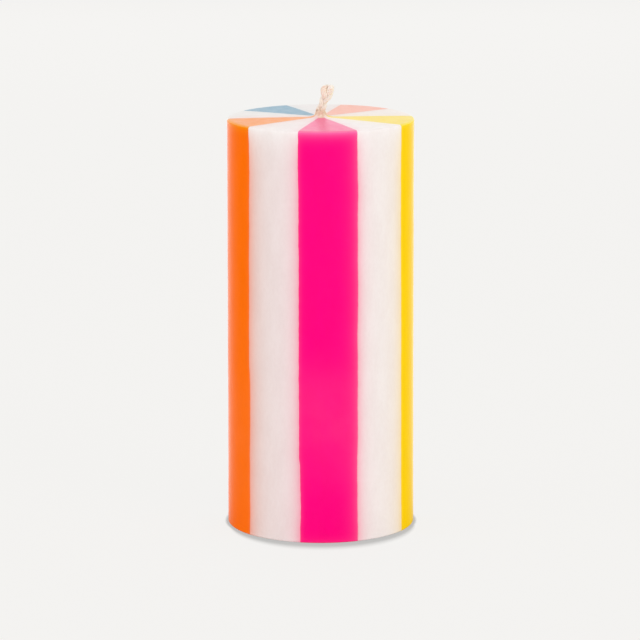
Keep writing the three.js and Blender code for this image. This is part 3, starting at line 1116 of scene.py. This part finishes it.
def tinplate():
    """Tinned steel with drawing marks round the axis and smears of wax."""
    material, tree = new_material("tinned_steel")
    drawn = maths(tree, "MULTIPLY", from_axis(tree), RINGS_PER_METRE)
    rings = add_node(tree, "ShaderNodeTexNoise", {"W": drawn}, noise_dimensions="1D").outputs[0]
    smear = grain(tree, place(tree), SMEAR_LENGTH, detail=4.0)
    base = blend(tree, remap(tree, smear, *SMEAR_RANGE, 0.0, SMEAR_SHARE), TIN, TIN_WAXED)
    inputs = {
        "Base Color": base,
        "Metallic": 1.0,
        "Roughness": remap(tree, smear, *DULL_RANGE, *TIN_ROUGHNESS),
        "Normal": relief(tree, ((rings, RING_DEPTH), (smear, SMEAR_DEPTH))),
    }
    principled(tree, inputs)
    return material


# Surroundings


def seen_directly(tree):
    """1 for the rays that show a picture of what they meet: camera, glossy and transmission."""
    path = add_node(tree, "ShaderNodeLightPath").outputs
    seen = maths(tree, "ADD", path["Is Camera Ray"], path["Is Glossy Ray"])
    return maths(tree, "ADD", seen, path["Is Transmission Ray"], clamp=True)


def mirrored(tree, sideways, begins, full, bright):
    """Strength of what a ray meets: 1, but in reflections only the paper behind the candle is bright, and
    the room in front is dark. sideways points from the candle to what is met."""
    flat = vectors(tree, "NORMALIZE", vectors(tree, "MULTIPLY", sideways, (1.0, 1.0, 0.0)))
    back = remap(tree, along(tree, flat, "Y"), begins, full, 0.0, bright)
    glossy = add_node(tree, "ShaderNodeLightPath").outputs["Is Glossy Ray"]
    return maths(tree, "ADD", maths(tree, "MULTIPLY", glossy, maths(tree, "SUBTRACT", back, 1.0)), 1.0)


def build_floor():
    """A wide round floor, open under the candle so that the base isn't dark when seen from below."""
    corners, faces = [], []
    for side in range(FLOOR_SIDES):
        angle = tau * side / FLOOR_SIDES
        for radius in (FLOOR_OPENING, FLOOR_RADIUS):
            corners.append((radius * cos(angle), radius * sin(angle), -FLOOR_DROP))
        here, there = 2 * side, 2 * ((side + 1) % FLOOR_SIDES)
        faces.append((here, here + 1, there + 1, there))
    mesh = new_mesh("floor", corners, faces, 0)
    mesh.materials.append(floor_paper())
    floor = add_object("floor", mesh)


def floor_paper():
    """Even pale paper with a soft shadow where the candle meets it; nothing of it shows from below."""
    material, tree = new_material("floor_paper")
    flat = place(tree, 0.0)
    forward = maths(tree, "ABSOLUTE", along(tree, vectors(tree, "NORMALIZE", flat), "Y"))
    reach = maths(tree, "POWER", forward, CONTACT_NARROWING)
    reach = maths(tree, "MULTIPLY", reach, CONTACT_REACH_FRONT)
    reach = maths(tree, "MAXIMUM", reach, CONTACT_REACH_SIDE)
    near = add_node(tree, "ShaderNodeAmbientOcclusion", {"Distance": reach}, samples=16).outputs["AO"]
    open_share = add_node(tree, "ShaderNodeMapRange", {0: near, 1: DARKEST_OPENNESS}).outputs[0]
    open_share = maths(tree, "MAXIMUM", maths(tree, "POWER", open_share, CONTACT_FADE), DARKEST_SHARE)
    shown = blend(tree, open_share, (0.0, 0.0, 0.0), PAPER)
    from_front = vectors(tree, "SUBTRACT", flat, (0.0, -BASE_RADIUS, 0.0))
    strength = mirrored(tree, from_front, *FLOOR_MIRRORED)
    picture = add_node(tree, "ShaderNodeEmission", {"Color": shown, "Strength": strength})
    paper = add_node(tree, "ShaderNodeBsdfDiffuse", {"Color": (*PAPER, 1.0)})
    share = maths(tree, "MULTIPLY", seen_directly(tree), 1.0 - REAL_SHADOW)
    lit = mix_shaders(tree, share, paper, picture)
    below = add_node(tree, "ShaderNodeNewGeometry").outputs["Backfacing"]
    clear = add_node(tree, "ShaderNodeBsdfTransparent")
    end_tree(tree, mix_shaders(tree, below, lit, clear))
    material.cycles.emission_sampling = "NONE"
    return material


def build_sky():
    """Even studio light; the picture's own pale ground where it is seen."""
    world = bpy.data.worlds.new("studio")
    bpy.context.scene.world = world
    world.use_nodes = True
    world.cycles.sampling_method = "NONE"
    tree = world.node_tree
    tree.nodes.clear()
    light = add_node(tree, "ShaderNodeBackground", {"Color": (1.0, 1.0, 1.0, 1.0), "Strength": SKY_LIGHT})
    strength = mirrored(tree, add_node(tree, "ShaderNodeTexCoord").outputs["Generated"], *SKY_MIRRORED)
    ground = add_node(tree, "ShaderNodeBackground", {"Color": (*PAPER, 1.0), "Strength": strength})
    mixed = mix_shaders(tree, seen_directly(tree), light, ground)
    end_tree(tree, mixed, "ShaderNodeOutputWorld")


def add_softbox(name, azimuth, elevation, distance, width, height, power, target=LAMP_AIM):
    """A rectangular lamp that faces the candle. Azimuth 0 is in front, and 90 to the right."""
    lamp = bpy.data.lights.new(name, "AREA")
    lamp.shape = "RECTANGLE"
    lamp.size, lamp.size_y = width, height
    lamp.energy = power
    softbox = add_object(name, lamp)
    aim = Vector((0.0, 0.0, target))
    a, e = radians(azimuth), radians(elevation)
    toward = Vector((sin(a) * cos(e), -cos(a) * cos(e), sin(e)))
    softbox.location = aim + distance * toward
    softbox.rotation_euler = toward.to_track_quat("Z", "Y").to_euler()
    softbox.visible_camera = False
    softbox.visible_glossy = False


def build_camera():
    camera = add_object("camera", bpy.data.cameras.new("camera"))
    camera.data.lens = CAMERA_LENS
    camera.data.sensor_width = CAMERA_SENSOR
    camera.data.clip_end = CAMERA_REACH
    x, y = sin(CAMERA_AZIMUTH) * CAMERA_DISTANCE, -cos(CAMERA_AZIMUTH) * CAMERA_DISTANCE
    camera.location = (x, y, CAMERA_HEIGHT)
    level = Euler((pi / 2 - CAMERA_TILT, 0.0, CAMERA_AZIMUTH + CAMERA_PAN)).to_matrix()
    camera.rotation_euler = (level @ Matrix.Rotation(CAMERA_ROLL, 3, "Z")).to_euler()
    bpy.context.scene.camera = camera


build_camera()
build_floor()
build_sky()
add_softbox("key", azimuth=42, elevation=18, distance=1.6, width=0.9, height=0.9, power=6.6)
add_softbox("fill", azimuth=-68, elevation=16, distance=1.8, width=1.0, height=1.0, power=6.6)
add_softbox("back", azimuth=176, elevation=14, distance=1.6, width=1.6, height=0.7, power=3.2)
add_softbox("top", azimuth=0, elevation=89, distance=1.5, width=0.6, height=0.6, power=1.4, target=0.15)

for index, (node, slot, colour, lit_tint) in enumerate(WEDGES):
    wedge = build_wedge(index, node.replace("wedge", "wax"), colour, lit_tint)
    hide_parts(node)
build_wick()
build_plate()

bpy.context.scene.view_settings.view_transform = "Standard"
